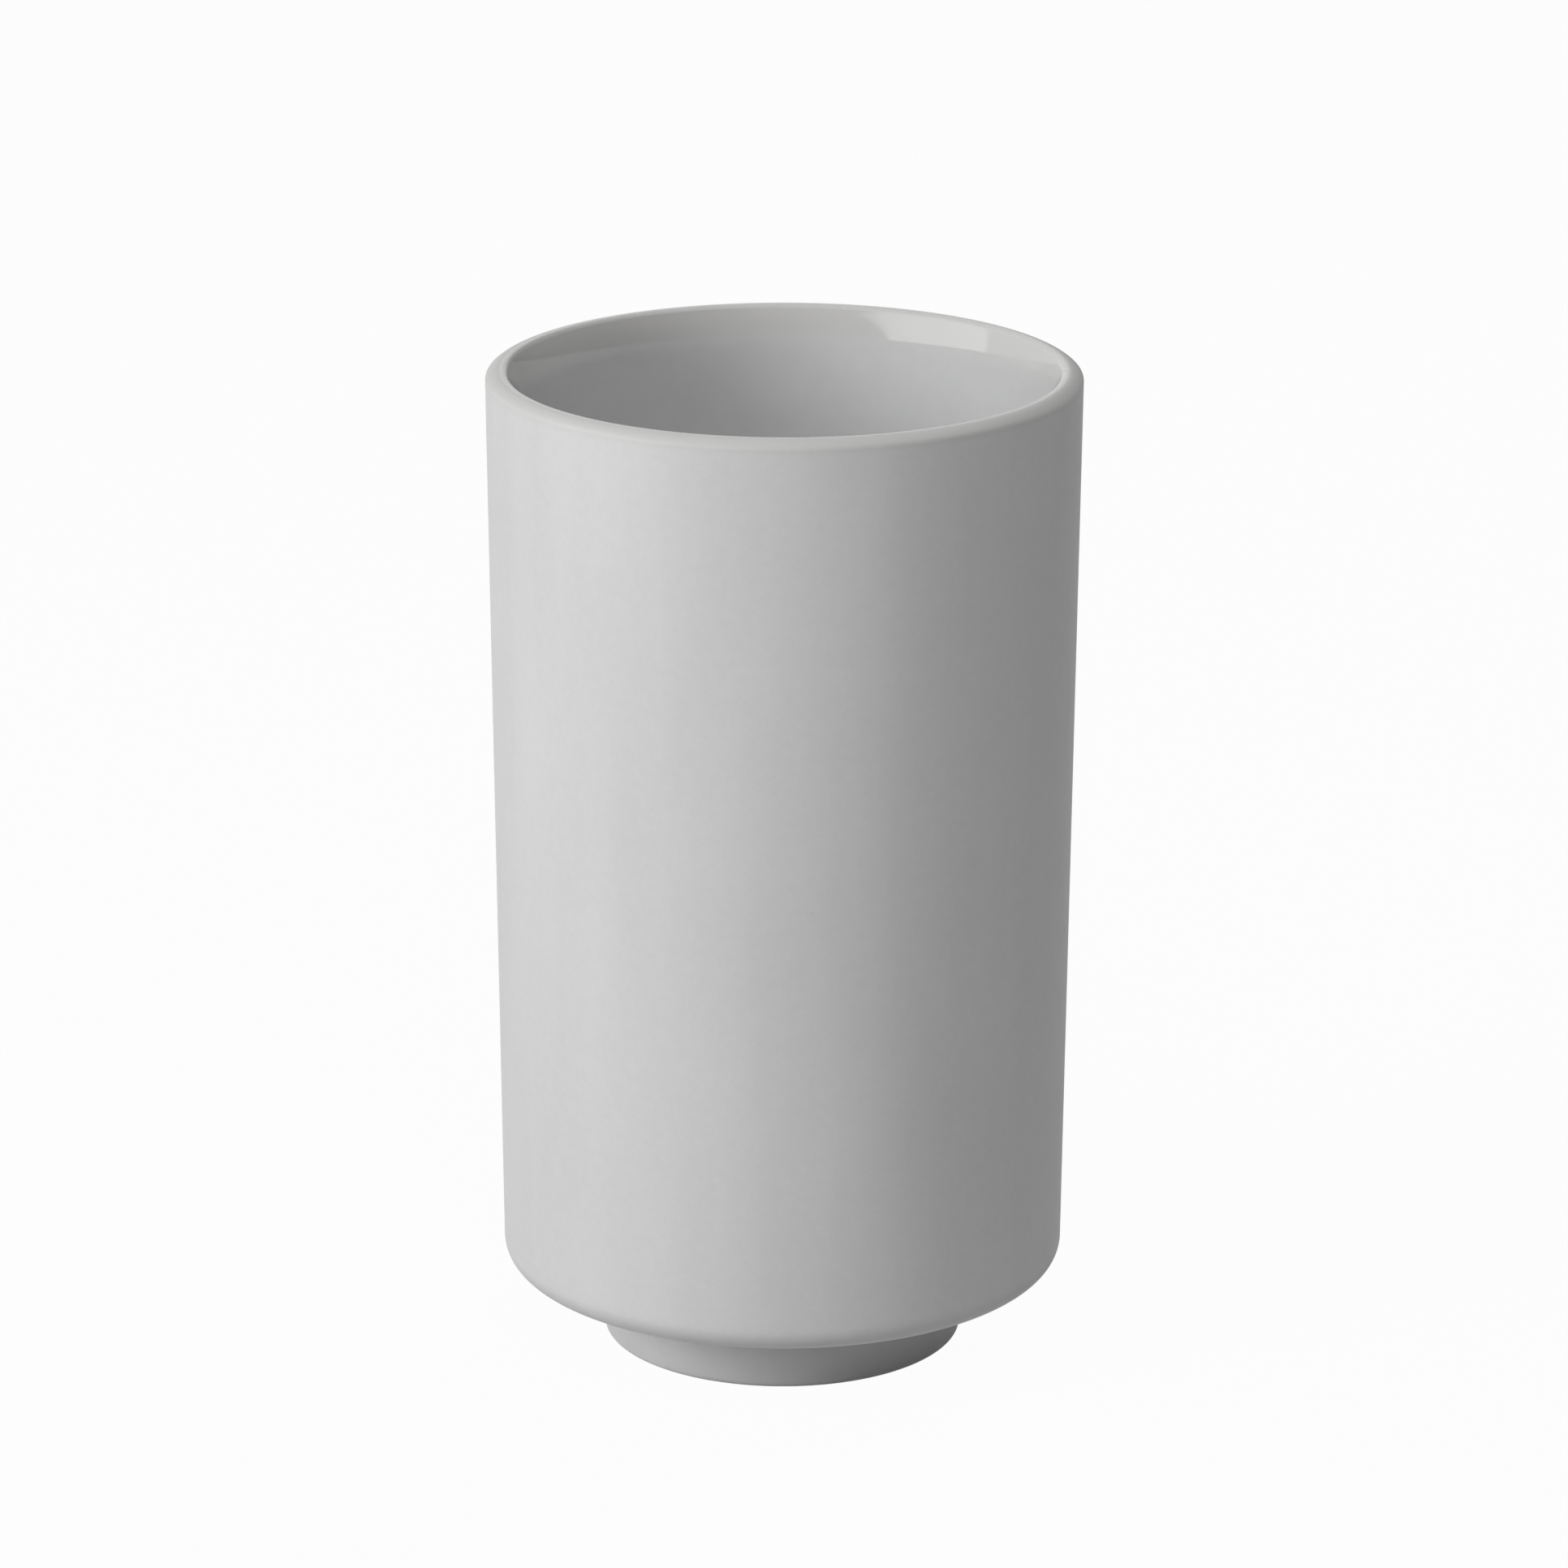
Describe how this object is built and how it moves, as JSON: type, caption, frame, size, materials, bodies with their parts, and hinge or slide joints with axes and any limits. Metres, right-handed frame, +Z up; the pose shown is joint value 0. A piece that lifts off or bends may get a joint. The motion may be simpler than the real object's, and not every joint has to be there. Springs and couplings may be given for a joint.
{
  "type": "bathroom tumbler",
  "caption": "Tall, slightly tapered ceramic tumbler with a rounded lip, matt outside and gloss glaze inside, standing on a narrower foot ring; holds toothbrushes or water at a washbasin.",
  "frame": {"origin": "centre of the foot ring's ground face, on the axis of the cup", "axes": "+Z up along the axis of the cup, out of its mouth; X and Y are equal, because the object is round"},
  "size_m": [0.0702, 0.0702, 0.12],
  "materials": {
    "matt_stoneware": "satin-matt vitrified stoneware, pale grey-white",
    "foot_stoneware": "satin-matt vitrified stoneware, ground smooth where it stands",
    "gloss_glaze": "clear-gloss white glaze"
  },
  "bodies": {
    "root": {"cup_body": "matt_stoneware", "foot_ring": "foot_stoneware", "inner_glaze": "gloss_glaze"}
  },
  "joints": []
}
